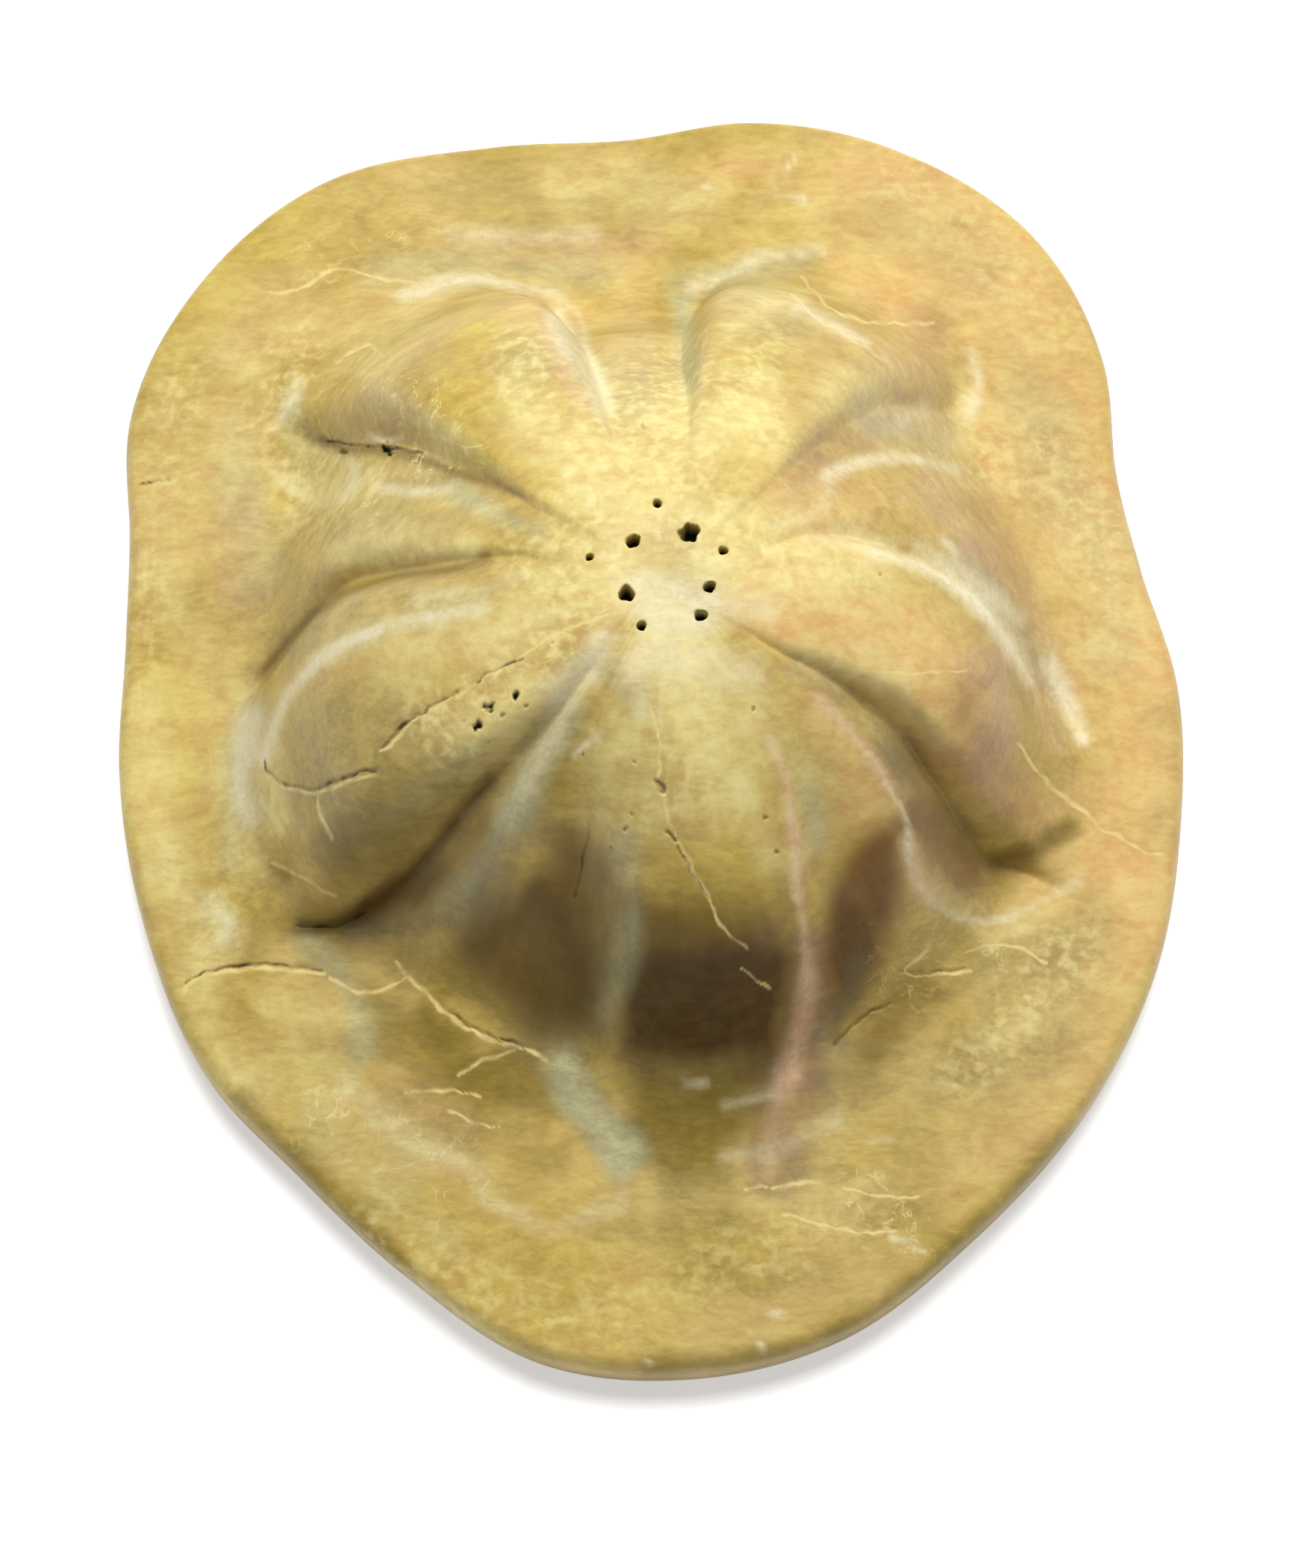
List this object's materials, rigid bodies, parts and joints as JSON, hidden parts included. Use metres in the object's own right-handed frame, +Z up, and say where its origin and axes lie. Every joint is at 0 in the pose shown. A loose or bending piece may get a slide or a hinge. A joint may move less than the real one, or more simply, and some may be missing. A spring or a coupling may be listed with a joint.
{
  "type": "fossil sea urchin",
  "caption": "Polished fossil sea biscuit: a tall dome with five swollen petals on a wide, wavy brim, with small pores round the top. It lies on its flat mouth side.",
  "frame": {"origin": "middle of the foot of the bounding box, on the surface that the shell lies on", "axes": "+Z up through the dome, -Y along the front petal, +X to the right as seen from above with the front petal towards the viewer"},
  "size_m": [0.1108, 0.1353, 0.0537],
  "materials": {
    "polished_stone": "polished"
  },
  "bodies": {
    "root": {"urchin_shell": "polished_stone"}
  },
  "joints": []
}
